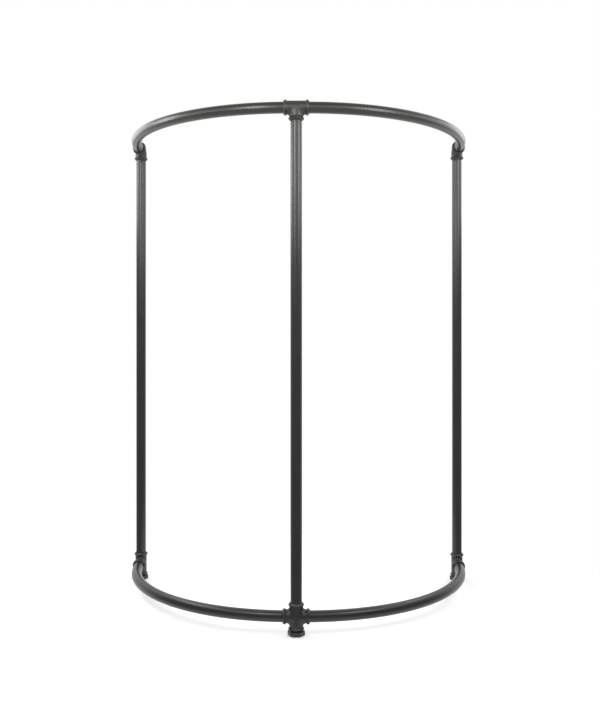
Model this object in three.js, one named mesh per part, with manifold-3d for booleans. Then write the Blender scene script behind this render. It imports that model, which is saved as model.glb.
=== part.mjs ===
// Half-round garment rack, built like pipework. Two half rings of bent pipe, one above the other, are the
// hanging rail and the base rail. Cast fittings join them to three upright pipes: a tee and a cross at the
// middle of the bow, an elbow and a tee at each end. Every pipe end slips into a socket and is locked by a
// set screw. A hexagon-headed plug screws up into the bottom port of each lower fitting as a levelling foot,
// and a rubber pad snaps into its underside.
//
// Millimetres, +Z up. The bow faces -Y and the open side +Y. The origin is on the floor, under the middle of
// the rack's footprint.

import * as THREE from "three";
import { mergeVertices } from "three/addons/utils/BufferGeometryUtils.js";
import Module from "manifold-3d";

// ---- Driving dimensions ----

const RING_RADIUS = 445; // axis of the bow to the centre of the uprights
const RING_SPACING = 1166.5; // between the centrelines of the two half rings
const BASE_HEIGHT = 43.5; // floor to the centreline of the lower half ring
const SIDES = 16; // facets round every pipe and fitting
const GAP = 0.3; // between pieces that touch

// Pipe
const PIPE_RADIUS = 13.35;
const PIPE_WALL = 2;
const TAIL = 18; // straight end of a bent rail, measured from the fitting's centre
const RAIL_STEPS = 20; // sections along one bent rail
const BORE_SIDES = 8; // facets inside a bent rail

// Fitting, measured along each port from the fitting's centre
const BODY_RADIUS = 15.6;
const RIDGE_RADIUS = 18.5;
const RIDGE_FOOT = 23.2; // where the ridge starts to rise out of the body
const RIDGE_START = 26.2;
const RIDGE_END = 27.6;
const LIP_RADIUS = 15;
const PORT_LENGTH = 32;
const UPPER_TRIM = 2; // the upper fittings' ports are this much shorter
const BEND_RADIUS = 16.5; // centreline of an elbow's bend
const BEND_STEPS = 24; // facets round a full turn of that bend
const OVERLAP = 1; // how far castings are let into each other before they are joined
const SOCKET_RADIUS = PIPE_RADIUS + GAP;
const SOCKET_FLOOR = 17.2; // shoulder that the pipe stops against
const CORE_RADIUS = 10.5; // passage that joins the sockets

// Set screw and the boss that it is tapped into
const BOSS_RADIUS = 5.2;
const BOSS_TOP = 19.3; // from the port's axis
const SCREW_PLACE = 24.5; // along the port
const SCREW_RADIUS = 3;
const SCREW_SIDES = 12;
const SCREW_TOP = 19;
const KEY_RADIUS = 1.73; // corner radius of a 3 mm hexagon key
const KEY_DEPTH = 2.6;

// Foot: hexagon-headed plug and its pad
const HEX_CORNER_RADIUS = 36 / Math.sqrt(3); // 36 mm across the flats
const HEX_TOP = PORT_LENGTH + GAP; // below the fitting's centre
const HEX_BOTTOM = 42;
const HEX_CHAMFER = 1.2;
const SPIGOT_RADIUS = 13;
const SPIGOT_TOP = SOCKET_FLOOR + 1;
const PAD_RADIUS = 15.5;
const PAD_RECESS = 2; // how far the pad is let into the plug
const STEM_RADIUS = 4;
const STEM_LENGTH = 7; // above the pad
const FRONT_HEX_TURN = -7; // degrees; a screwed plug stops where its thread ends

const UPPER = BASE_HEIGHT + RING_SPACING;
const PIPE_END = SOCKET_FLOOR + GAP; // from the fitting's centre
const SIDE_WAYS = [
  { side: "left", sign: -1 },
  { side: "right", sign: 1 },
];

const X = new THREE.Vector3(1, 0, 0);
const Y = new THREE.Vector3(0, 1, 0);
const Z = new THREE.Vector3(0, 0, 1);
const LEFT = X.clone().negate();
const FORWARD = Y.clone().negate();
const DOWN = Z.clone().negate();

// ---- Materials ----

const pipePaint = new THREE.MeshStandardMaterial({ color: 0x4b4b48, roughness: 0.38, metalness: 0.35 });
const castPaint = new THREE.MeshStandardMaterial({ color: 0x444441, roughness: 0.5, metalness: 0.3 });
const screwSteel = new THREE.MeshStandardMaterial({ color: 0x2b2b2b, roughness: 0.4, metalness: 0.8 });
const padRubber = new THREE.MeshStandardMaterial({ color: 0x161616, roughness: 0.85, metalness: 0 });

// ---- Solids ----

const wasm = await Module();
wasm.setup();

function solidOf(geometry) {
  const bare = geometry.index ? geometry.toNonIndexed() : geometry.clone();
  bare.deleteAttribute("normal");
  bare.deleteAttribute("uv");
  const merged = mergeVertices(bare, 1e-4);
  return new wasm.Manifold(
    new wasm.Mesh({
      numProp: 3,
      vertProperties: merged.attributes.position.array,
      triVerts: new Uint32Array(merged.index.array),
    }),
  );
}

function geometryOf(solid) {
  const made = solid.getMesh();
  return new THREE.BufferGeometry()
    .setAttribute("position", new THREE.BufferAttribute(new Float32Array(made.vertProperties), 3))
    .setIndex(new THREE.BufferAttribute(new Uint32Array(made.triVerts), 1))
    .toNonIndexed();
}

// Turns a geometry made about +Y so that its axis points along a direction.
function facing(geometry, direction) {
  return geometry.applyQuaternion(new THREE.Quaternion().setFromUnitVectors(Y, direction));
}

// A body of revolution about +Y from [radius, height] pairs.
function revolved(profile, sides = SIDES) {
  return new THREE.LatheGeometry(profile.map(([r, h]) => new THREE.Vector2(r, h)), sides);
}

// A round or hexagonal bar about +Y, from one height to another.
function bar(radius, from, to, sides = SIDES) {
  return new THREE.CylinderGeometry(radius, radius, to - from, sides).translate(0, (from + to) / 2, 0);
}

// ---- Pipes ----

function uprightPipe() {
  const inner = PIPE_RADIUS - PIPE_WALL;
  const half = RING_SPACING / 2 - PIPE_END;
  const section = [
    [inner, -half],
    [PIPE_RADIUS, -half],
    [PIPE_RADIUS, half],
    [inner, half],
    [inner, -half],
  ];
  return facing(revolved(section), Z);
}

// Centreline of the bent rail on the +X side: a short straight tail out of the front fitting, a quarter turn,
// and a short straight tail into the side fitting. Sections lie closer together near the ends, so that the
// faceted rail stays clear of the sockets.
class RailPath extends THREE.Curve {
  getPoint(t, target = new THREE.Vector3()) {
    const straight = TAIL - PIPE_END;
    const tailShare = 1 / RAIL_STEPS;
    const bendRadius = RING_RADIUS - TAIL;
    if (t <= tailShare) {
      return target.set(PIPE_END + straight * (t / tailShare), -RING_RADIUS, 0);
    }
    if (t >= 1 - tailShare) {
      return target.set(RING_RADIUS, -PIPE_END - straight * ((1 - t) / tailShare), 0);
    }
    const along = (t - tailShare) / (1 - 2 * tailShare);
    const eased = along - (0.75 * Math.sin(2 * Math.PI * along)) / (2 * Math.PI);
    const angle = (eased * Math.PI) / 2;
    return target.set(TAIL + bendRadius * Math.sin(angle), -TAIL - bendRadius * Math.cos(angle), 0);
  }

  getUtoTmapping(u) {
    return u;
  }
}

function bentRail(sign) {
  const polygon = (radius, sides) =>
    Array.from({ length: sides }, (_, i) => {
      const angle = (2 * Math.PI * i) / sides;
      return new THREE.Vector2(radius * Math.cos(angle), radius * Math.sin(angle));
    });
  const section = new THREE.Shape(polygon(PIPE_RADIUS, SIDES));
  section.holes.push(new THREE.Path(polygon(PIPE_RADIUS - PIPE_WALL, BORE_SIDES)));
  const rail = new THREE.ExtrudeGeometry(section, { steps: RAIL_STEPS, extrudePath: new RailPath() });
  return sign > 0 ? rail : geometryOf(solidOf(rail).mirror([1, 0, 0]));
}

// ---- Fittings ----

// Outline of a port from the body's plain part to its lip, as [radius, distance along the port].
function portOutline(trim) {
  return [
    [BODY_RADIUS, RIDGE_FOOT - trim],
    [RIDGE_RADIUS, RIDGE_START - trim],
    [RIDGE_RADIUS, RIDGE_END - trim],
    [LIP_RADIUS, PORT_LENGTH - trim],
  ];
}

function portCasting(direction, trim, from = 0) {
  const profile = [[0, from], [BODY_RADIUS, from], ...portOutline(trim), [0, PORT_LENGTH - trim]];
  return solidOf(facing(revolved(profile), direction));
}

// A straight run: two opposite ports in one piece.
function runCasting(direction, trim) {
  const outline = portOutline(trim);
  const lower = outline.map(([r, h]) => [r, -h]).reverse();
  const profile = [[0, trim - PORT_LENGTH], ...lower, ...outline, [0, PORT_LENGTH - trim]];
  return solidOf(facing(revolved(profile), direction));
}

function socket(direction, from) {
  const passage = solidOf(facing(bar(CORE_RADIUS, from, SOCKET_FLOOR + 1), direction));
  return passage.add(solidOf(facing(bar(SOCKET_RADIUS, SOCKET_FLOOR, PORT_LENGTH + 1), direction)));
}

// The quarter turn of an elbow, from its forward port round to its downward port.
function bend(radius) {
  const ring = new THREE.TorusGeometry(BEND_RADIUS, radius, SIDES, BEND_STEPS).rotateY(Math.PI / 2);
  const reach = BEND_RADIUS + radius + 1;
  const quarter = new THREE.BoxGeometry(reach * 2, reach, reach).translate(0, reach / 2, reach / 2);
  return solidOf(ring).intersect(solidOf(quarter)).translate([0, -BEND_RADIUS, -BEND_RADIUS]);
}

// A bar that stands out sideways from a port where its set screw goes.
function crossBar(port, radius, from, to, sides) {
  const place = port.faces.clone().multiplyScalar(SCREW_PLACE - port.trim);
  return facing(bar(radius, from, to, sides), port.screw).translate(place.x, place.y, place.z);
}

function screwHole(port) {
  return solidOf(crossBar(port, SCREW_RADIUS + GAP, CORE_RADIUS, BOSS_TOP + 1, SCREW_SIDES));
}

// Each port says which way it faces, how much shorter than usual it is and, where a pipe is locked in it,
// which side its set screw stands on. The passages start at a distance from the fitting's centre.
function castFitting(ports, castings, from = 0) {
  let casting = castings.reduce((whole, piece) => whole.add(piece));
  const locked = ports.filter((port) => port.screw);
  for (const port of locked) {
    casting = casting.add(solidOf(crossBar(port, BOSS_RADIUS, CORE_RADIUS + 2, BOSS_TOP, SCREW_SIDES)));
  }
  for (const port of ports) {
    casting = casting.subtract(socket(port.faces, from));
  }
  for (const port of locked) {
    casting = casting.subtract(screwHole(port));
  }
  return geometryOf(casting);
}

const teePorts = [
  { name: "left", faces: LEFT, screw: Y, trim: UPPER_TRIM },
  { name: "right", faces: X, screw: Y, trim: UPPER_TRIM },
  { name: "upright", faces: DOWN, screw: Y, trim: UPPER_TRIM },
];
const crossPorts = [
  { name: "left", faces: LEFT, screw: Y, trim: 0 },
  { name: "right", faces: X, screw: Y, trim: 0 },
  { name: "upright", faces: Z, screw: Y, trim: 0 },
  { name: "foot", faces: DOWN, trim: 0 },
];
const elbowPorts = [
  { name: "rail", faces: FORWARD, screw: Z, trim: UPPER_TRIM },
  { name: "upright", faces: DOWN, screw: Y, trim: UPPER_TRIM },
];
const sideTeePorts = [
  { name: "rail", faces: FORWARD, screw: DOWN, trim: 0 },
  { name: "upright", faces: Z, screw: Y, trim: 0 },
  { name: "foot", faces: DOWN, trim: 0 },
];

const upperTee = () => castFitting(teePorts, [runCasting(X, UPPER_TRIM), portCasting(DOWN, UPPER_TRIM)]);
const lowerCross = () => castFitting(crossPorts, [runCasting(X, 0), runCasting(Z, 0)]);
const sideTee = () => castFitting(sideTeePorts, [runCasting(Z, 0), portCasting(FORWARD, 0)]);

function elbow() {
  const from = BEND_RADIUS - OVERLAP;
  const castings = elbowPorts.map((port) => portCasting(port.faces, port.trim, from));
  const hollowed = castFitting(elbowPorts, [bend(BODY_RADIUS), ...castings], from);
  return geometryOf(solidOf(hollowed).subtract(bend(CORE_RADIUS)));
}

// ---- Set screw ----

function setScrew(port) {
  const tip = SOCKET_RADIUS;
  const shank = solidOf(crossBar(port, SCREW_RADIUS, tip, SCREW_TOP, SCREW_SIDES));
  return geometryOf(shank.subtract(solidOf(crossBar(port, KEY_RADIUS, SCREW_TOP - KEY_DEPTH, SCREW_TOP + 1, 6))));
}

// ---- Foot ----

// Heights here are distances below the fitting's centre, turned into +Y upwards and then stood on Z.
function footPlug(turn) {
  const chamfered = revolved([
    [0, -HEX_BOTTOM],
    [HEX_CORNER_RADIUS - HEX_CHAMFER, -HEX_BOTTOM],
    [HEX_CORNER_RADIUS, -HEX_BOTTOM + HEX_CHAMFER],
    [HEX_CORNER_RADIUS, -HEX_TOP - HEX_CHAMFER],
    [HEX_CORNER_RADIUS - HEX_CHAMFER * 2, -HEX_TOP],
    [0, -HEX_TOP],
  ], SIDES * 1.5);
  const hexagon = bar(HEX_CORNER_RADIUS, -HEX_BOTTOM, -HEX_TOP, 6).rotateY(Math.PI / 6 + (turn * Math.PI) / 180);
  const head = solidOf(hexagon).intersect(solidOf(chamfered));
  const spigot = solidOf(bar(SPIGOT_RADIUS, -HEX_TOP - 1, -SPIGOT_TOP));
  const recess = solidOf(bar(PAD_RADIUS + GAP, -HEX_BOTTOM - 1, -HEX_BOTTOM + PAD_RECESS + GAP));
  const stemHole = solidOf(bar(STEM_RADIUS + GAP, -HEX_BOTTOM, -BASE_HEIGHT + PAD_RECESS + STEM_LENGTH + 2));
  return facing(geometryOf(head.add(spigot).subtract(recess).subtract(stemHole)), Z);
}

function footPad() {
  const top = -HEX_BOTTOM + PAD_RECESS;
  const profile = [
    [0, -BASE_HEIGHT],
    [PAD_RADIUS - 1, -BASE_HEIGHT],
    [PAD_RADIUS, -BASE_HEIGHT + 0.8],
    [PAD_RADIUS, top],
    [STEM_RADIUS, top],
    [STEM_RADIUS, top + STEM_LENGTH - PAD_RECESS],
    [0, top + STEM_LENGTH - PAD_RECESS],
  ];
  return facing(revolved(profile), Z);
}

// ---- Assembly ----

const rack = new THREE.Group();

function place(name, geometry, material, x, y, z) {
  const mesh = new THREE.Mesh(geometry, material);
  mesh.name = name;
  mesh.position.set(x, y, z);
  rack.add(mesh);
}

function placeFitting(name, geometry, ports, x, y, z) {
  place(name, geometry, castPaint, x, y, z);
  for (const port of ports.filter((p) => p.screw)) {
    place(`${name}_screw_${port.name}`, setScrew(port), screwSteel, x, y, z);
  }
}

function placeFoot(station, turn, x, y) {
  place(`${station}_foot_plug`, footPlug(turn), castPaint, x, y, BASE_HEIGHT);
  place(`${station}_foot_pad`, footPad(), padRubber, x, y, BASE_HEIGHT);
}

const MIDDLE = BASE_HEIGHT + RING_SPACING / 2;

placeFitting("upper_front_tee", upperTee(), teePorts, 0, -RING_RADIUS, UPPER);
placeFitting("lower_front_cross", lowerCross(), crossPorts, 0, -RING_RADIUS, BASE_HEIGHT);
place("front_upright", uprightPipe(), pipePaint, 0, -RING_RADIUS, MIDDLE);
placeFoot("front", FRONT_HEX_TURN, 0, -RING_RADIUS);

for (const { side, sign } of SIDE_WAYS) {
  const x = sign * RING_RADIUS;
  placeFitting(`upper_${side}_elbow`, elbow(), elbowPorts, x, 0, UPPER);
  placeFitting(`lower_${side}_tee`, sideTee(), sideTeePorts, x, 0, BASE_HEIGHT);
  place(`${side}_upright`, uprightPipe(), pipePaint, x, 0, MIDDLE);
  place(`upper_${side}_rail`, bentRail(sign), pipePaint, 0, 0, UPPER);
  place(`lower_${side}_rail`, bentRail(sign), pipePaint, 0, 0, BASE_HEIGHT);
  placeFoot(side, 0, x, 0);
}

// The footprint's middle goes over the origin.
const footprint = new THREE.Box3().setFromObject(rack, true);
rack.position.y = -(footprint.min.y + footprint.max.y) / 2;

export default rack;
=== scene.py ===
"""Looks of a half-round garment rack: fine pipes, castings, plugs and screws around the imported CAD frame."""

import math

import bpy
import numpy as np
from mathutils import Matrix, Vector


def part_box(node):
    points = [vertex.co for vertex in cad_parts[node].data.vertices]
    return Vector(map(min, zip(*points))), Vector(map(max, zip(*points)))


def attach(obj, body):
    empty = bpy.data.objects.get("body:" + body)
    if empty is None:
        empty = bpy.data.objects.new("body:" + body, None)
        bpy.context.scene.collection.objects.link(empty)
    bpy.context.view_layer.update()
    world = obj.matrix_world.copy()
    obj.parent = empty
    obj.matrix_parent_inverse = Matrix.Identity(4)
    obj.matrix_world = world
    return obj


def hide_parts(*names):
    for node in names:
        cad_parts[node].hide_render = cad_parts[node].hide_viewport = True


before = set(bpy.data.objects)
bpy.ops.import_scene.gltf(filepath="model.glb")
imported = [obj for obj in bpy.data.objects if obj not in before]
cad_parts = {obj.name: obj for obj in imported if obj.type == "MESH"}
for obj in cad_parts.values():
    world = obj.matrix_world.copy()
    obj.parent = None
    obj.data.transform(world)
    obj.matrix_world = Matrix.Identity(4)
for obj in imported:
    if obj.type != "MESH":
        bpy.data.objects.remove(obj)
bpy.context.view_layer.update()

# ---- Sizes, in metres, that the frame's boxes don't give ----

WALL = 0.002  # pipe wall
TAIL = 0.018  # straight end of a bent rail, from the fitting's centre
GAP = 0.0003  # between pieces that touch
SOFT_END = 0.0004  # softening of a pipe's ends
PIPE_SIDES = 72
PIPE_STRETCH = 0.02  # about this far between the loops of a straight pipe
RAIL_STEPS = 150
RAIL_MARGIN = 0.001  # from a rail's end to the first of its even steps

BODY_RADIUS = 0.0156
BEND_RADIUS = 0.0165  # centreline of an elbow's bend
LIP_RADIUS = 0.0151
RIDGE_AT = 0.0269  # along the port
RIDGE_INNER_WIDTH = 0.0036
RIDGE_OUTER_WIDTH = 0.0050
RIDGE_BLUNTNESS = 0.12  # 0 would bring the ridge to a sharp crest
SIDE_SCALE = 0.85  # keeps the distance to a coned side from being overstated
END_ROUNDING = 0.0005  # of a port's outer end
SOCKET_FLOOR = 0.0172
SOCKET_STEP = 0.0006  # length over which the passage opens out to the socket
SOCKET_ROUNDING = 0.0004
MOUTH_LENGTH = 0.0007
MOUTH_FLARE = 0.0001
CORE_RADIUS = 0.0105
CROTCH_FILLET = 0.0075
ELBOW_FILLET = 0.003
SCREW_AT = 0.0245  # along the port
BOSS_RADIUS = 0.0052
BOSS_UNDER = 0.0004  # how far a boss stays under its height in the CAD
BOSS_FILLET = 0.002
STUD_ROUNDING = 0.0012  # at the ends of a boss and of its hole
SCREW_RADIUS = 0.003
HOLE_ROUNDING = 0.0006
HOLE_PAST = 0.01  # a screw hole is cut this far past its boss
SHARP = 1e-6  # a fillet too small to see

CAST_CELL = 0.0008  # size of the facets of a casting
# Margins in cells. They place the grid, and with these every casting's net is sound.
NET_MARGIN_LOW = 2.7
NET_MARGIN_HIGH = 2.8
# How far each pass evens a net out, before it is pulled to the skin
NET_EVENING = (0.5, 0.5, 0.4, 0.3, 0, 0, 0)

THREAD_PITCH = 0.0254 / 14
THREAD_DEPTH = 0.0011
THREAD_RADIUS = 0.013
THREAD_LOOPS = 10  # to a turn
THREAD_FADE_LOOPS = 8
THREAD_CHAMFER_LOOPS = 6
NECK_RADIUS = 0.0124  # of the plug, between its head and its thread
HEX_ACROSS_FLATS = 0.036
HEX_CHAMFER = 0.0012
HEX_ROUNDING = 0.0005
PLUG_COLUMNS = 192
RECESS_DEPTH = 0.002  # how deep the pad is let into the plug
STEM_RADIUS = 0.004
STEM_ROOM = 0.002  # over the pad's stem
EYE_RADIUS = 0.001  # innermost loop of a flat end
PAD_COLUMNS = 64

SCREW_PITCH = 0.001
SCREW_THREAD_DEPTH = 0.0005
SCREW_COLUMNS = 48
KEY_ACROSS_FLATS = 0.003
KEY_CORNER = 0.0001
KEY_DEPTH = 0.0026

X, Y, Z = np.eye(3)


# ---- Places, from the frame ----

def middle(node):
    low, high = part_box(node)
    return np.array((low + high) / 2)


def size(node):
    low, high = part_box(node)
    return np.array(high - low)


PIPE_RADIUS = size("front_upright")[0] / 2
SOCKET_RADIUS = PIPE_RADIUS + GAP
RIDGE_RADIUS = size("lower_left_tee")[0] / 2
PORT_LENGTH = size("lower_front_cross")[2] / 2
UPPER_TRIM = PORT_LENGTH - size("upper_front_tee")[0] / 2  # the upper fittings' ports are this much shorter
BOSS_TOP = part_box("lower_left_tee")[1].y - middle("left_upright")[1] - BOSS_UNDER
RING_CENTRE = np.array([0.0, middle("left_upright")[1], 0.0])
RING_RADIUS = middle("right_upright")[0]
UPPER = middle("upper_right_rail")[2]
LOWER = middle("lower_right_rail")[2]
PIPE_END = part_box("front_upright")[0].z - LOWER  # from a fitting's centre to the end of the pipe in it

FRONT = RING_CENTRE - RING_RADIUS * Y
LEFT = RING_CENTRE - RING_RADIUS * X
RIGHT = RING_CENTRE + RING_RADIUS * X
STATIONS = {"front": FRONT, "left": LEFT, "right": RIGHT}


# ---- Meshes ----

def make_object(name, points, faces, attributes=()):
    mesh = bpy.data.meshes.new(name)
    mesh.from_pydata(points.tolist(), [], faces)
    mesh.validate()
    mesh.polygons.foreach_set("use_smooth", [True] * len(mesh.polygons))
    for label, vectors in attributes:
        attribute = mesh.attributes.new(label, "FLOAT_VECTOR", "POINT")
        attribute.data.foreach_set("vector", vectors.astype(np.float32).ravel())
    made = bpy.data.objects.new(name, mesh)
    bpy.context.scene.collection.objects.link(made)
    return made


def loop_faces(rows, columns, closed):
    """Quads between rows of points, each row a closed loop. A closed net also joins its last row to its
    first."""
    faces = []
    for row in range(rows if closed else rows - 1):
        above = (row + 1) % rows
        for column in range(columns):
            beside = (column + 1) % columns
            faces.append((row * columns + column, row * columns + beside, above * columns + beside,
                          above * columns + column))
    return faces


def capped_net(name, rows):
    """A closed skin from loops of points, whose first and last loops are closed by one point each."""
    count, columns = rows.shape[:2]
    points = np.vstack([rows.reshape(-1, 3), rows[0].mean(0), rows[-1].mean(0)])
    faces = loop_faces(count, columns, closed=False)
    first, last = count * columns, count * columns + 1
    start = (count - 1) * columns
    for column in range(columns):
        beside = (column + 1) % columns
        faces.append((first, beside, column))
        faces.append((last, start + column, start + beside))
    return make_object(name, points, faces)


# ---- Pipes ----

def pipe(name, centres, sideways, upwards, lengths):
    """A hollow pipe along a row of centres, with softened ends. Its attribute says where each point would
    lie on the pipe if it were straight."""
    inner = PIPE_RADIUS - WALL
    angles = np.linspace(0, 2 * math.pi, PIPE_SIDES, endpoint=False)
    last = len(centres) - 1
    outline = [(i, PIPE_RADIUS) for i in range(len(centres))]
    outline[0] = (0, PIPE_RADIUS - SOFT_END)
    outline[-1] = (last, PIPE_RADIUS - SOFT_END)
    outline += [(i, inner) for i in range(last, -1, -1)]
    rows, straight = [], []
    for index, radius in outline:
        across = np.outer(np.cos(angles), sideways[index]) + np.outer(np.sin(angles), upwards[index])
        rows.append(centres[index] + radius * across)
        straight.append(np.stack([radius * np.cos(angles), radius * np.sin(angles),
                                  np.full(PIPE_SIDES, lengths[index])], axis=1))
    faces = loop_faces(len(rows), PIPE_SIDES, closed=True)
    return make_object(name, np.concatenate(rows), faces, [("straight", np.concatenate(straight))])


def end_steps(total):
    """Distances along a straight pipe: softened ends, and even stretches between them."""
    inner = np.linspace(SOFT_END, total - SOFT_END, max(2, round(total / PIPE_STRETCH)))
    return np.concatenate([[0], inner, [total]])


def upright(station):
    node = f"{station}_upright"
    low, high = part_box(node)
    steps = end_steps(high.z - low.z)
    base = np.array([*STATIONS[station][:2], low.z])
    centres = base + np.outer(steps, Z)
    made = pipe(f"{node}_pipe", centres, [X] * len(steps), [Y] * len(steps), steps + low.z)
    return made, node


def rail(level, side):
    """A straight tail, a quarter turn and another tail, all in one level."""
    node = f"{level}_{side}_rail"
    height = UPPER if level == "upper" else LOWER
    sign = -1 if side == "left" else 1
    bend_radius = RING_RADIUS - TAIL
    straight = TAIL - PIPE_END
    total = 2 * straight + bend_radius * math.pi / 2
    even_steps = np.linspace(RAIL_MARGIN, total - RAIL_MARGIN, RAIL_STEPS)
    steps = np.concatenate([[0, SOFT_END], even_steps, [total - SOFT_END, total]])
    centres, sideways = [], []
    for step in steps:
        turned = min(max((step - straight) / bend_radius, 0), math.pi / 2)
        before = min(step, straight)
        after = max(step - straight - bend_radius * math.pi / 2, 0)
        x = PIPE_END + before + bend_radius * math.sin(turned)
        y = -RING_RADIUS + bend_radius * (1 - math.cos(turned)) + after
        centres.append(RING_CENTRE + np.array([sign * x, y, height]))
        sideways.append(np.array([sign * math.sin(turned), -math.cos(turned), 0]))
    upwards = [-sign * Z] * len(steps)
    made = pipe(f"{node}_pipe", np.array(centres), sideways, upwards, steps)
    return made, node


# ---- Castings: a solid is a function that is negative inside, and its skin is netted over a grid ----

def joined(a, b, fillet):
    """Both solids, with a fillet of varying size where they meet."""
    reach = np.maximum(fillet - np.abs(a - b), 0) / np.maximum(fillet, 1e-9)
    return np.minimum(a, b) - reach**2 * fillet / 4


def cut(a, b, fillet):
    return -joined(-a, b, fillet)


def radial(points, axis):
    along = points @ axis
    across = points - np.outer(along, axis)
    return along, np.linalg.norm(across, axis=1), across


def port_radius(along):
    """Outline of a port: plain body, a pointed ridge, and a cone to the lip."""
    inner = np.clip((RIDGE_AT - along) / RIDGE_INNER_WIDTH, 0, 1)
    outer = np.clip((along - RIDGE_AT) / RIDGE_OUTER_WIDTH, 0, 1)
    blunt = RIDGE_BLUNTNESS
    rise = np.sqrt(inner**2 + blunt**2) - blunt
    fall = np.sqrt(outer**2 + blunt**2) - blunt
    share = np.sqrt(1 + blunt**2) - blunt
    inner_side = RIDGE_RADIUS - (RIDGE_RADIUS - BODY_RADIUS) * rise / share
    outer_side = RIDGE_RADIUS - (RIDGE_RADIUS - LIP_RADIUS) * fall / share
    return np.where(along < RIDGE_AT, inner_side, outer_side)


def port(points, axis, trim, start=0.0):
    """One port, from a start along its axis to its end. Trim shortens it."""
    along, radius, _ = radial(points, axis)
    side = (radius - port_radius(along + trim)) * SIDE_SCALE
    end = np.maximum(along + trim - PORT_LENGTH, start - along)
    return -joined(-side, -end, END_ROUNDING)


def run(points, axis, trim):
    """Two ports in line, one each way along an axis."""
    along, radius, _ = radial(points, axis)
    outward = np.abs(along) + trim
    side = (radius - port_radius(outward)) * SIDE_SCALE
    return -joined(-side, PORT_LENGTH - outward, END_ROUNDING)


def crossing(points, first_axis, second_axis):
    """Fillet size where a run and a branch meet: full where their skins stand square, none where they
    agree."""
    _, _, first = radial(points, first_axis)
    _, _, second = radial(points, second_axis)
    sizes = np.linalg.norm(first, axis=1) * np.linalg.norm(second, axis=1)
    agreement = np.sum(first * second, axis=1) / np.maximum(sizes, 1e-9)
    return CROTCH_FILLET * np.clip(1 - agreement**2, 0, 1) + SHARP


def bend(points, first_axis, second_axis, radius):
    """A quarter turn between two ports, about a centre between them."""
    centre = BEND_RADIUS * (first_axis + second_axis)
    across = np.cross(first_axis, second_axis)
    local = points - centre
    flat = local - np.outer(local @ across, across)
    ring = np.hypot(np.linalg.norm(flat, axis=1) - BEND_RADIUS, local @ across) - radius
    return np.maximum(ring, np.maximum(local @ first_axis, local @ second_axis))


def socket(points, axis, trim, start):
    """The passage along a port, stepped out to take a pipe and opened a little at its mouth."""
    along, radius, _ = radial(points, axis)
    step = np.clip((along - SOCKET_FLOOR) / SOCKET_STEP, 0, 1)
    mouth = np.clip((along + trim - PORT_LENGTH + MOUTH_LENGTH) / MOUTH_LENGTH, 0, 1)
    bore = CORE_RADIUS + (SOCKET_RADIUS - CORE_RADIUS) * step + MOUTH_FLARE * mouth
    return np.maximum(radius - bore, start - along)


def stud(points, axis, screw, trim, radius, top):
    """A round bar that stands out of a port where its set screw goes: the boss, or the hole through it."""
    along, spread, _ = radial(points - (SCREW_AT - trim) * axis, screw)
    return -joined(radius - spread, -np.maximum(along - top, CORE_RADIUS - along), STUD_ROUNDING)


def hollowed(points, solid, ports, screws, trim, start=0.0):
    """The solid with its screw bosses added, and then its sockets and screw holes cut."""
    for axis, screw in screws:
        boss = stud(points, axis, screw, trim, BOSS_RADIUS, BOSS_TOP)
        solid = joined(solid, boss, BOSS_FILLET)
    for axis in ports:
        solid = cut(solid, socket(points, axis, trim, start), SOCKET_ROUNDING)
    for axis, screw in screws:
        hole = stud(points, axis, screw, trim, SCREW_RADIUS + GAP, BOSS_TOP + HOLE_PAST)
        solid = cut(solid, hole, HOLE_ROUNDING)
    return solid


def tee_solid(points):
    trim = UPPER_TRIM
    solid = joined(run(points, X, trim), port(points, -Z, trim), crossing(points, X, Z))
    return hollowed(points, solid, [X, -X, -Z], [(X, Y), (-X, Y), (-Z, Y)], trim)


def cross_solid(points):
    solid = joined(run(points, X, 0), run(points, Z, 0), crossing(points, X, Z))
    return hollowed(points, solid, [X, -X, Z, -Z], [(X, Y), (-X, Y), (Z, Y)], 0)


def side_tee_solid(points):
    solid = joined(run(points, Z, 0), port(points, -Y, 0), crossing(points, Z, Y))
    return hollowed(points, solid, [Z, -Z, -Y], [(-Y, -Z), (Z, Y)], 0)


def elbow_solid(points):
    trim = UPPER_TRIM
    rail_port = port(points, -Y, trim, BEND_RADIUS)
    upright_port = port(points, -Z, trim, BEND_RADIUS)
    ports = joined(rail_port, upright_port, ELBOW_FILLET)
    solid = joined(ports, bend(points, -Y, -Z, BODY_RADIUS), SHARP)
    solid = cut(solid, bend(points, -Y, -Z, CORE_RADIUS), SHARP)
    return hollowed(points, solid, [-Y, -Z], [(-Y, Z), (-Z, Y)], trim, BEND_RADIUS)


def netted(solid, low, high, cell):
    """The skin of a solid, as a quad net over a grid whose points are then pulled on to the true
    surface."""
    counts = np.ceil((high - low) / cell).astype(int) + 1
    axes = [low[i] + cell * np.arange(counts[i]) for i in range(3)]
    grid = np.stack(np.meshgrid(*axes, indexing="ij"), axis=-1)
    inside = solid(grid.reshape(-1, 3)).reshape(counts) < 0
    number = -np.ones(counts - 1, int)
    total = sum(inside[i:counts[0] - 1 + i, j:counts[1] - 1 + j, k:counts[2] - 1 + k].astype(int)
                for i in (0, 1) for j in (0, 1) for k in (0, 1))
    crossed = (total > 0) & (total < 8)
    number[crossed] = np.arange(crossed.sum())
    points = low + cell * (np.argwhere(crossed) + 0.5)
    faces = np.concatenate([net_faces(inside, number, axis) for axis in range(3)])
    points = settled(solid, points, faces, cell)
    return points, faces


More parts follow.
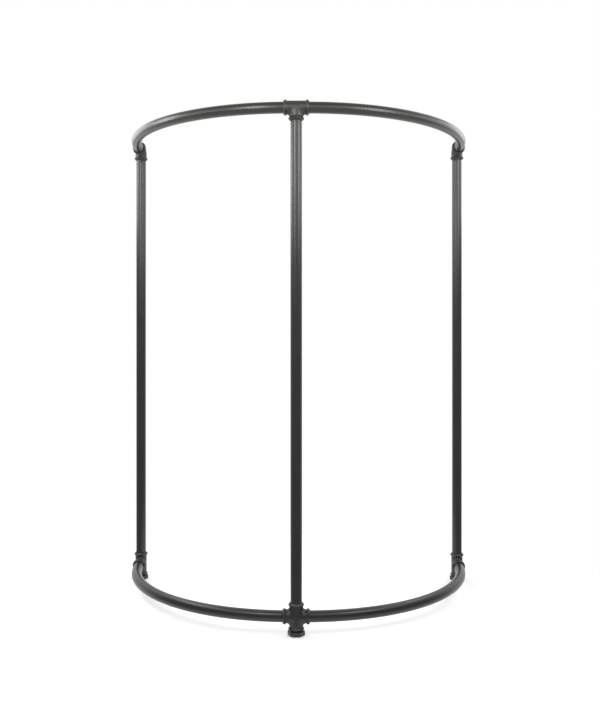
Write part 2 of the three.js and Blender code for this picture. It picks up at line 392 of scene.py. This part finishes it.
def net_faces(inside, number, axis):
    """One quad for each grid edge along an axis that passes through the skin."""
    inside = np.moveaxis(inside, axis, 0)
    number = np.moveaxis(number, axis, 0)
    changes = inside[:-1, 1:-1, 1:-1] != inside[1:, 1:-1, 1:-1]
    i, j, k = np.nonzero(changes)
    corners = [number[i, j, k], number[i, j + 1, k], number[i, j + 1, k + 1], number[i, j, k + 1]]
    quads = np.stack(corners, axis=1)
    outward = inside[:-1, 1:-1, 1:-1][changes]
    if axis == 1:
        outward = ~outward
    quads[~outward] = quads[~outward][:, ::-1]
    return quads


def slope(solid, points, value, step=2e-5):
    """How fast the solid's value changes along X, Y and Z."""
    return np.stack([(solid(points + step * axis) - value) / step for axis in (X, Y, Z)], axis=1)


def settled(solid, points, faces, cell):
    """Evens out the net and pulls it on to the surface, in turns."""
    edges = np.concatenate([faces[:, [i, (i + 1) % 4]] for i in range(4)])
    for evening in NET_EVENING:
        if evening:
            total = np.zeros_like(points)
            count = np.zeros(len(points))
            np.add.at(total, edges[:, 0], points[edges[:, 1]])
            np.add.at(count, edges[:, 0], 1)
            points = points + evening * (total / count[:, None] - points)
        value = solid(points)
        gradient = slope(solid, points, value)
        steep = np.maximum(np.sum(gradient**2, axis=1), 0.05)
        move = -(value / steep)[:, None] * gradient
        length = np.linalg.norm(move, axis=1)
        points = points + move * np.minimum(1, cell / np.maximum(length, 1e-12))[:, None]
    return points


SOLIDS = {
    "upper_front_tee": tee_solid,
    "lower_front_cross": cross_solid,
    "upper_left_elbow": elbow_solid,
    "upper_right_elbow": elbow_solid,
    "lower_left_tee": side_tee_solid,
    "lower_right_tee": side_tee_solid,
}


def fitting_centre(node):
    x, y = STATIONS[node.split("_")[1]][:2]
    return np.array([x, y, UPPER if node.startswith("upper") else LOWER])


def castings():
    """Every fitting, with its CAD node. Fittings of the same kind share one net."""
    nets = {}
    made = []
    for node, solid in SOLIDS.items():
        if solid not in nets:
            low, high = (np.array(corner) - fitting_centre(node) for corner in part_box(node))
            low = low - NET_MARGIN_LOW * CAST_CELL
            high = high + NET_MARGIN_HIGH * CAST_CELL
            nets[solid] = netted(solid, low, high, CAST_CELL)
        points, faces = nets[solid]
        made.append((make_object(f"{node}_casting", points + fitting_centre(node), faces.tolist()), node))
    return made


# ---- Turned and threaded pieces ----

def hex_reach(angles, across_flats, corner=0.0006):
    """Distance from the axis to a hexagon with softened corners, for each angle. A flat faces angle 0."""
    off_flat = (angles + math.pi / 6) % (math.pi / 3) - math.pi / 6
    sharp = across_flats / 2 / np.cos(off_flat)
    most = across_flats / math.sqrt(3) - corner
    return joined(sharp, np.full_like(sharp, most), corner)


def thread_rows(angles, crest, depth, pitch, start, end):
    """Loops of a threaded shank from one height to another, faded in at both ends and chamfered at the
    second."""
    rows = []
    steps = max(4, round(abs(end - start) / pitch * THREAD_LOOPS))
    for step in range(steps + 1):
        height = start + (end - start) * step / steps
        phase = (height / pitch - angles / (2 * math.pi)) % 1
        groove = 1 - np.clip(np.abs(phase - 0.5) * 2.6 - 0.15, 0, 1)
        fade = min(1, step / THREAD_FADE_LOOPS, (steps - step) / THREAD_FADE_LOOPS)
        chamfer = 0.6 * depth * (1 - min(1, (steps - step) / THREAD_CHAMFER_LOOPS))
        rows.append((crest - depth * groove * fade - chamfer, np.full_like(angles, height)))
    return rows


def polar_net(name, rows, angles, place, axis_turn=0.0):
    """A closed skin from loops of (radius, height) about +Z."""
    turned = angles + axis_turn
    loops = [np.stack([r * np.cos(turned), r * np.sin(turned), h], axis=1) for r, h in rows]
    return capped_net(name, np.array(loops) + place)


def even(angles, radius, height):
    """A round, level loop."""
    return np.full_like(angles, radius), np.full_like(angles, height)


def plug(station):
    """The levelling foot: hexagon head below, threaded shank above, and a recess for the pad."""
    node = f"{station}_foot_plug"
    low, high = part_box(node)
    pad_low, pad_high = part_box(f"{station}_foot_pad")
    x, y = STATIONS[station][:2]
    head_top = LOWER - PORT_LENGTH - GAP
    turn = hex_turn(station)
    angles = np.linspace(0, 2 * math.pi, PLUG_COLUMNS, endpoint=False)
    reach = hex_reach(angles, HEX_ACROSS_FLATS)
    corner = HEX_ACROSS_FLATS / math.sqrt(3)
    recess = (pad_high.x - pad_low.x) / 2 + GAP
    recess_top = low.z + RECESS_DEPTH + GAP
    stem = STEM_RADIUS + GAP
    stem_top = pad_high.z + STEM_ROOM
    rows = [even(angles, EYE_RADIUS, stem_top), even(angles, stem, stem_top),
            even(angles, stem, recess_top), even(angles, recess, recess_top),
            even(angles, recess, low.z + 0.0003), even(angles, recess + 0.0003, low.z)]
    rows += head_rows(angles, reach, corner, low.z, head_top)
    rows += [even(angles, NECK_RADIUS + 0.0004, head_top), even(angles, NECK_RADIUS, head_top + 0.0003)]
    rows += thread_rows(angles, THREAD_RADIUS, THREAD_DEPTH, THREAD_PITCH,
                        head_top + 0.0006, high.z - 0.0002)
    rows += [even(angles, THREAD_RADIUS - 0.0015, high.z), even(angles, EYE_RADIUS, high.z)]
    return polar_net(f"{node}_screw", rows, angles, np.array([x, y, 0]), turn), node


def head_rows(angles, reach, corner, bottom, top):
    """Loops up the outside of the hexagon, rounded off by a chamfer cone at each end."""
    rows = []
    slope_down, slope_up = 1.0, 2.0
    for height in np.concatenate([np.linspace(0, 0.0022, 10), np.linspace(0.003, 0.0065, 4),
                                  np.linspace(0.0072, top - bottom, 10)]):
        lower_cone = corner - HEX_CHAMFER + height * slope_down
        upper_cone = corner - 2 * HEX_CHAMFER + (top - bottom - height) * slope_up
        cone = np.full_like(angles, min(lower_cone, upper_cone))
        rows.append((joined(reach, cone, HEX_ROUNDING), np.full_like(angles, bottom + height)))
    return rows


def hex_turn(station):
    """The CAD hexagon's turn about +Z, from the place of one of its corners."""
    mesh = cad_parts[f"{station}_foot_plug"].data
    centre = Vector((*STATIONS[station][:2], 0))
    widest = max((v.co - centre for v in mesh.vertices), key=lambda offset: round(offset.xy.length, 6))
    return math.atan2(widest.y, widest.x) - math.pi / 6


def pad(station):
    """The rubber pad: a disc with softened edges, two grooves underneath, and a stem into the plug."""
    node = f"{station}_foot_pad"
    low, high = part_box(node)
    radius = (high.x - low.x) / 2
    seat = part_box(f"{station}_foot_plug")[0].z + RECESS_DEPTH
    outline = [(0.0015, 0), (0.0050, 0), (0.0054, 0.0005), (0.0064, 0.0005), (0.0068, 0),
               (0.0104, 0), (0.0108, 0.0005), (0.0118, 0.0005), (0.0122, 0),
               (radius - 0.0009, 0), (radius - 0.0003, 0.0002), (radius, 0.0008),
               (radius, seat - 0.0003), (radius - 0.0003, seat),
               (STEM_RADIUS + 0.0005, seat), (STEM_RADIUS, seat + 0.0005),
               (STEM_RADIUS, high.z - 0.0006), (STEM_RADIUS - 0.0006, high.z), (EYE_RADIUS, high.z)]
    angles = np.linspace(0, 2 * math.pi, PAD_COLUMNS, endpoint=False)
    rows = [even(angles, r, h) for r, h in outline]
    x, y = STATIONS[station][:2]
    return polar_net(f"{node}_rubber", rows, angles, np.array([x, y, 0])), node


SCREW_AXES = {
    "upper_front_tee": {"left": (-X, Y), "right": (X, Y), "upright": (-Z, Y)},
    "lower_front_cross": {"left": (-X, Y), "right": (X, Y), "upright": (Z, Y)},
    "upper_left_elbow": {"rail": (-Y, Z), "upright": (-Z, Y)},
    "upper_right_elbow": {"rail": (-Y, Z), "upright": (-Z, Y)},
    "lower_left_tee": {"rail": (-Y, -Z), "upright": (Z, Y)},
    "lower_right_tee": {"rail": (-Y, -Z), "upright": (Z, Y)},
}


def set_screw(fitting, name, axis, direction):
    """A headless set screw with a hexagon socket, its thread cut along the shank."""
    node = f"{fitting}_screw_{name}"
    bottom = SOCKET_RADIUS
    top = bottom + max(size(node) * np.abs(direction))
    angles = np.linspace(0, 2 * math.pi, SCREW_COLUMNS, endpoint=False)
    key = hex_reach(angles, KEY_ACROSS_FLATS, KEY_CORNER)
    floor = top - KEY_DEPTH
    rows = [even(angles, 0.0008, bottom), even(angles, 0.0018, bottom),
            even(angles, 0.0024, bottom + 0.0005)]
    rows += thread_rows(angles, SCREW_RADIUS, SCREW_THREAD_DEPTH, SCREW_PITCH,
                        bottom + 0.0007, top - 0.0003)
    rows += [even(angles, 0.0025, top), even(angles, 0.00195, top),
             (key, np.full_like(angles, top - 0.0003)), (key, np.full_like(angles, floor)),
             even(angles, 0.0004, floor - 0.0003)]
    across = np.cross(direction, axis)
    loops = []
    for radius, height in rows:
        sideways = np.outer(radius * np.cos(angles), axis) + np.outer(radius * np.sin(angles), across)
        loops.append(sideways + np.outer(height, direction))
    trim = UPPER_TRIM if fitting.startswith("upper") else 0
    place = fitting_centre(fitting) + (SCREW_AT - trim) * axis
    return capped_net(f"{node}_steel", np.array(loops) + place), node


# ---- Materials ----

class Shader:
    """The node tree of a material or a world, with short calls to add to it."""

    def __init__(self, owner):
        self.owner = owner
        owner.use_nodes = True
        self.tree = owner.node_tree

    def add(self, kind, inputs=(), **settings):
        made = self.tree.nodes.new(kind)
        for key, value in settings.items():
            setattr(made, key, value)
        for key, value in dict(inputs).items():
            self.feed(made.inputs[key], value)
        return made

    def feed(self, target, value):
        if isinstance(value, bpy.types.NodeSocket):
            self.tree.links.new(value, target)
        else:
            target.default_value = value

    def attribute(self, name):
        return self.add("ShaderNodeAttribute", attribute_name=name).outputs["Vector"]

    def place(self):
        return self.add("ShaderNodeTexCoord").outputs["Object"]

    def stretched(self, vector, scale):
        return self.add("ShaderNodeMapping", {"Vector": vector, "Scale": scale}).outputs[0]

    def noise(self, vector, scale, detail=2.0, roughness=0.5):
        inputs = {"Vector": vector, "Scale": scale, "Detail": detail, "Roughness": roughness}
        return self.add("ShaderNodeTexNoise", inputs).outputs["Fac"]

    def span(self, value, low, high, to_low=0.0, to_high=1.0):
        inputs = {"Value": value, "From Min": low, "From Max": high, "To Min": to_low, "To Max": to_high}
        return self.add("ShaderNodeMapRange", inputs).outputs[0]

    def blend(self, share, first, second):
        mix = self.add("ShaderNodeMix", data_type="RGBA")
        self.feed(mix.inputs[0], share)
        self.feed(mix.inputs[6], first)
        self.feed(mix.inputs[7], second)
        return mix.outputs[2]

    def calc(self, operation, first, second):
        made = self.add("ShaderNodeMath", operation=operation)
        self.feed(made.inputs[0], first)
        self.feed(made.inputs[1], second)
        return made.outputs[0]

    def bump(self, height, strength, distance, normal=None):
        inputs = {"Height": height, "Strength": strength, "Distance": distance}
        if normal is not None:
            inputs["Normal"] = normal
        return self.add("ShaderNodeBump", inputs).outputs[0]

    def finish(self, **inputs):
        for key, value in inputs.items():
            self.feed(self.tree.nodes["Principled BSDF"].inputs[key.replace("_", " ")], value)
        return self.owner


PAINT = (0.0178, 0.0178, 0.0167, 1)
PAINT_LIGHT = (0.0225, 0.0225, 0.0210, 1)


def pipe_paint():
    """Semi-gloss paint over drawn steel: faint lines along the pipe, orange peel, and a few specks of
    dust."""
    s = Shader(bpy.data.materials.new("pipe_paint"))
    along = s.attribute("straight")
    clouds = s.noise(along, 9.0, 3.0)
    lines = s.noise(s.stretched(along, (1.0, 1.0, 0.012)), 900.0, 3.0, 0.6)
    peel = s.noise(along, 650.0, 2.0)
    specks = s.span(s.noise(along, 420.0, 0.0), 0.72, 0.80)
    tone = s.calc("ADD", s.span(clouds, 0.3, 0.7, 0.0, 0.6), s.span(lines, 0.35, 0.65, 0.0, 0.4))
    roughness = s.calc("ADD", s.span(clouds, 0.3, 0.7, 0.27, 0.33), s.span(lines, 0.3, 0.7, -0.03, 0.04))
    surface = s.bump(peel, 0.06, 0.0004)
    surface = s.bump(lines, 0.03, 0.0003, surface)
    surface = s.bump(specks, 0.12, 0.0003, surface)
    return s.finish(Base_Color=s.blend(tone, PAINT, PAINT_LIGHT), Roughness=roughness, Metallic=0.0,
                    Normal=surface)


def cast_paint(name, grain, dark):
    """The same paint over a sand casting: grain, shallow pits, and more gloss where it has run thick."""
    s = Shader(bpy.data.materials.new(name))
    place = s.place()
    clouds = s.noise(place, 45.0, 3.0)
    sand = s.noise(place, 1100.0, 4.0, 0.6)
    lumps = s.noise(place, 260.0, 2.0)
    pits = s.span(s.noise(place, 520.0, 1.0), 0.30, 0.22)
    tone = s.calc("ADD", s.span(clouds, 0.3, 0.7, 0.0, 0.7), s.span(sand, 0.4, 0.7, 0.0, 0.3))
    roughness = s.calc("ADD", s.span(clouds, 0.3, 0.7, 0.34, 0.44), s.span(sand, 0.3, 0.7, -0.05, 0.08))
    surface = s.bump(lumps, 0.35, 0.0006)
    surface = s.bump(sand, grain, 0.0003, surface)
    surface = s.bump(pits, 0.4, -0.0003, surface)
    first = tuple(c * dark for c in PAINT[:3]) + (1,)
    second = tuple(c * dark for c in PAINT_LIGHT[:3]) + (1,)
    return s.finish(Base_Color=s.blend(tone, first, second), Roughness=roughness, Metallic=0.0,
                    Normal=surface)


def black_oxide():
    """Blackened steel with turning marks and rubbed spots."""
    s = Shader(bpy.data.materials.new("black_oxide"))
    place = s.place()
    rub = s.span(s.noise(place, 700.0, 3.0), 0.55, 0.70)
    fine = s.noise(place, 4000.0, 2.0)
    colour = s.blend(rub, (0.018, 0.018, 0.019, 1), (0.10, 0.10, 0.10, 1))
    return s.finish(Base_Color=colour, Metallic=0.85, Roughness=s.span(fine, 0.3, 0.7, 0.32, 0.45),
                    Normal=s.bump(fine, 0.1, 0.0002))


def rubber():
    """Matt black rubber with a moulded grain."""
    s = Shader(bpy.data.materials.new("rubber"))
    place = s.place()
    grain = s.noise(place, 1500.0, 3.0)
    dust = s.span(s.noise(place, 180.0, 4.0), 0.5, 0.75)
    colour = s.blend(dust, (0.006, 0.006, 0.006, 1), (0.020, 0.019, 0.018, 1))
    return s.finish(Base_Color=colour, Roughness=s.span(grain, 0.3, 0.7, 0.75, 0.9),
                    Normal=s.bump(grain, 0.3, 0.0002))


def stage_paint():
    """Pale studio floor, faintly lit through like a light table."""
    s = Shader(bpy.data.materials.new("stage_paint"))
    mottling = s.noise(s.place(), 3.0, 3.0)
    colour = s.blend(mottling, (0.80, 0.80, 0.80, 1), (0.82, 0.82, 0.82, 1))
    return s.finish(Base_Color=colour, Roughness=0.9, Emission_Color=(1, 1, 1, 1), Emission_Strength=0.30)


# ---- Assembly ----

def finish_piece(made, node, body, material, slot_name):
    """Paints a piece, hangs it on the empty of the body it rides, and hides the CAD node it replaces. The slot
    name is not used."""
    made.data.materials.append(material)
    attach(made, body)
    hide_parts(node)


def build_rack():
    paint = pipe_paint()
    for station in STATIONS:
        finish_piece(*upright(station), "frame", paint, "pipe_paint")
    for level in ("upper", "lower"):
        for side in ("left", "right"):
            finish_piece(*rail(level, side), "frame", paint, "pipe_paint")
    cast = cast_paint("cast_paint", 0.35, 1.0)
    for made, node in castings():
        finish_piece(made, node, "frame", cast, "fitting_paint")
    steel = black_oxide()
    for fitting, screws in SCREW_AXES.items():
        for name, (axis, direction) in screws.items():
            finish_piece(*set_screw(fitting, name, axis, direction), "frame", steel, "screw_steel")
    plug_paint = cast_paint("plug_paint", 0.5, 0.85)
    pad_rubber = rubber()
    for station in STATIONS:
        finish_piece(*plug(station), f"{station}_plug", plug_paint, "plug_paint")
        finish_piece(*pad(station), f"{station}_pad", pad_rubber, "pad_rubber")


# ---- Camera, floor and light ----

CAMERA_SWING = math.radians(0.707)  # to the right of square on
CAMERA_DISTANCE = 5.366 * RING_RADIUS
CAMERA_HEIGHT = LOWER + 1.4564 * RING_RADIUS
CAMERA_LENS = 42.66
CAMERA_SHIFT_X = 0.0019
CAMERA_SHIFT_Y = -0.0334
FLOOR_MARGIN = 0.08  # outside the feet
FLOOR_SIDES = 96
BOX_HEIGHT = 0.68
BOX_ABOVE = 0.22  # middle of the boxes over the upper rails
ARC_REACH = 1.30  # from the Z axis to the arc of boxes
ARC_WIDTH = 0.66
ARC_BRIGHTNESS = 2.1
INNER_REACH = 1.24  # from the Z axis to the brighter boxes


def add_camera():
    """Level, a little above mid-height, nearly square on to the bow."""
    away = Vector((math.sin(CAMERA_SWING), -math.cos(CAMERA_SWING), 0))
    data = bpy.data.cameras.new("camera")
    data.lens = CAMERA_LENS
    data.shift_x = CAMERA_SHIFT_X
    data.shift_y = CAMERA_SHIFT_Y
    data.clip_end = 100
    camera = bpy.data.objects.new("camera", data)
    camera.location = Vector(RING_CENTRE) + away * CAMERA_DISTANCE + Vector((0, 0, CAMERA_HEIGHT))
    camera.rotation_euler = (math.pi / 2, 0, CAMERA_SWING)
    bpy.context.scene.collection.objects.link(camera)
    bpy.context.scene.camera = camera


def add_floor():
    """A pale disc that ends a little outside the feet, so that the rack hardly mirrors it."""
    reach = RING_RADIUS + FLOOR_MARGIN
    angles = np.linspace(0, 2 * math.pi, FLOOR_SIDES, endpoint=False)
    rim = RING_CENTRE + reach * np.stack([np.cos(angles), np.sin(angles), np.zeros(FLOOR_SIDES)], axis=1)
    floor = make_object("floor", rim, [tuple(range(FLOOR_SIDES))])
    floor.data.materials.append(stage_paint())


def add_softbox(name, azimuth, reach, width, brightness):
    """A lit panel at the height of the upper rails, upright and turned to the rack. Azimuth 0 is in front,
    and 90 is to the right."""
    turn = math.radians(azimuth)
    away = Vector((math.sin(turn), -math.cos(turn), 0))
    data = bpy.data.lights.new(name, "AREA")
    data.shape = "RECTANGLE"
    data.size = width
    data.size_y = BOX_HEIGHT
    data.energy = brightness * width * BOX_HEIGHT * math.pi
    light = bpy.data.objects.new(name, data)
    light.location = reach * away + Vector((0, 0, UPPER + BOX_ABOVE))
    light.rotation_euler = away.to_track_quat("Z", "Y").to_euler()
    light.visible_camera = False
    bpy.context.scene.collection.objects.link(light)


def add_lights():
    """An arc of soft panels round the front and sides, with three brighter ones a little inside it."""
    for azimuth in range(-120, 121, 30):
        add_softbox(f"arc_box_{azimuth}", azimuth, ARC_REACH, ARC_WIDTH, ARC_BRIGHTNESS)
    add_softbox("left_box", -88, INNER_REACH, 0.34, 7.0)
    add_softbox("front_left_box", -24, INNER_REACH, 0.26, 11.0)
    add_softbox("right_box", 47, INNER_REACH, 0.36, 7.5)


def add_world():
    """White to look at. As the rack mirrors it, it is a dim room that is paler overhead, underfoot and
    behind."""
    s = Shader(bpy.data.worlds.new("world"))
    bpy.context.scene.world = s.owner
    direction = s.add("ShaderNodeTexCoord").outputs["Generated"]
    split = s.add("ShaderNodeSeparateXYZ", {"Vector": direction})
    overhead = s.span(split.outputs["Z"], 0.35, 0.70, 0.28, 0.45)
    underfoot = s.span(split.outputs["Z"], -0.25, -0.60, 0.0, 0.6)
    behind = s.span(split.outputs["Y"], 0.05, 0.55, 0.0, 0.7)
    room = s.calc("ADD", s.calc("ADD", overhead, underfoot), behind)
    seen = s.add("ShaderNodeLightPath").outputs["Is Camera Ray"]
    background = s.tree.nodes["Background"]
    background.inputs["Color"].default_value = (1, 1, 1, 1)
    s.feed(background.inputs["Strength"], s.calc("MAXIMUM", room, seen))
    bpy.context.scene.view_settings.view_transform = "Standard"


build_rack()
add_camera()
add_floor()
add_lights()
add_world()
